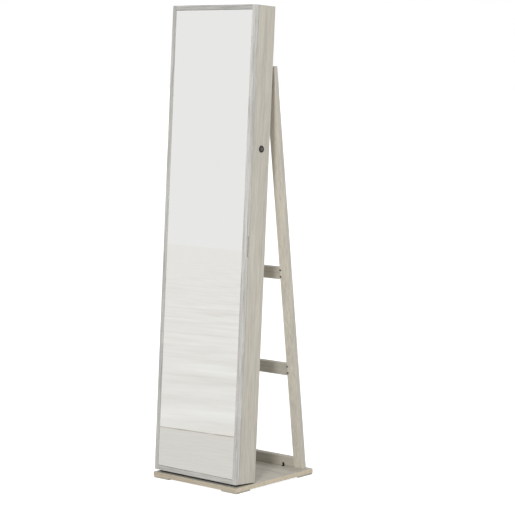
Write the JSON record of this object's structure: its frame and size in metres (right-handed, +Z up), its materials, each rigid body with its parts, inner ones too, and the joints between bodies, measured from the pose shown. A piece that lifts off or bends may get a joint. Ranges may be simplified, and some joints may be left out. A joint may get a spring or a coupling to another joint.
{
  "type": "jewelry armoire",
  "caption": "Tall narrow mirror-fronted jewelry cabinet that leans back on a square base, held by a ladder frame behind it, with a side-hung door and a cam lock.",
  "frame": {"origin": "on the floor under the middle of the square base", "axes": "+Z up, -Y the way the mirror faces, +X to the right as seen by someone facing the mirror"},
  "size_m": [0.38, 0.38, 1.5699],
  "materials": {
    "pale_wood": "white-washed wood grain, satin",
    "board": "plain fibre board, matt",
    "foot_plastic": "moulded, matt",
    "dark_plastic": "moulded, matt black",
    "velvet": "short pile velvet",
    "clear_plastic": "clear, polished",
    "mirror": "silvered float glass",
    "nickel": "plated, polished",
    "black_metal": "black plated, satin",
    "catch_plastic": "moulded",
    "magnet": "ground steel",
    "felt": "pressed felt"
  },
  "bodies": {
    "cabinet": {"base_plate": "pale_wood", "foot_pad_front_left": "foot_plastic", "foot_pad_front_right": "foot_plastic", "foot_pad_rear_left": "foot_plastic", "foot_pad_rear_right": "foot_plastic", "tilt_wedge": "dark_plastic", "stand_leg_left": "pale_wood", "stand_leg_right": "pale_wood", "stand_rail_low": "pale_wood", "stand_rail_mid": "pale_wood", "stand_rail_high": "pale_wood", "stand_screws": "black_metal", "rail_brackets": "black_metal", "leg_blocks": "pale_wood", "side_panel_left": "pale_wood", "side_panel_right": "pale_wood", "top_panel": "pale_wood", "bottom_panel": "pale_wood", "back_panel": "board", "back_lining": "velvet", "shelf_1": "pale_wood", "shelf_2": "pale_wood", "shelf_3": "pale_wood", "shelf_4": "pale_wood", "shelf_5": "pale_wood", "shelf_guards": "clear_plastic", "necklace_rail": "pale_wood", "necklace_pegs": "nickel", "ring_tray": "pale_wood", "ring_rolls": "velvet", "bracelet_rod": "nickel", "rod_cups": "nickel", "hinge_case_leaves": "nickel", "hinge_pins": "nickel", "hinge_case_screws": "nickel", "lock_body": "black_metal", "lock_nut": "nickel", "catch_bodies": "catch_plastic", "catch_magnets": "magnet", "seam_bumpers": "felt"},
    "door": {"door_stile_left": "pale_wood", "door_stile_right": "pale_wood", "door_rail_top": "pale_wood", "door_rail_bottom": "pale_wood", "mirror_glass": "mirror", "door_backing": "board", "door_lining": "velvet", "hinge_door_leaves": "nickel", "hinge_door_screws": "nickel", "catch_strikers": "nickel", "lock_strike": "nickel", "door_hook_rail": "pale_wood", "door_pegs": "nickel", "necklace_pocket": "velvet", "earring_uprights": "pale_wood", "earring_bars": "velvet", "door_bins": "clear_plastic"},
    "lock_barrel": {"lock_plug": "black_metal", "lock_cam": "nickel", "lock_cam_screw": "nickel"}
  },
  "joints": [
    {"name": "door_hinge", "type": "hinge", "parent": "cabinet", "child": "door", "pos_m": [-0.187, -0.11324, 0.79917], "axis": [0, -0.0767, -0.9971], "range_deg": [0, 110]},
    {"name": "lock_turn", "type": "hinge", "parent": "cabinet", "child": "lock_barrel", "pos_m": [0.174, -0.05084, 1.10829], "axis": [-1, 0, 0], "range_deg": [0, 90]}
  ]
}
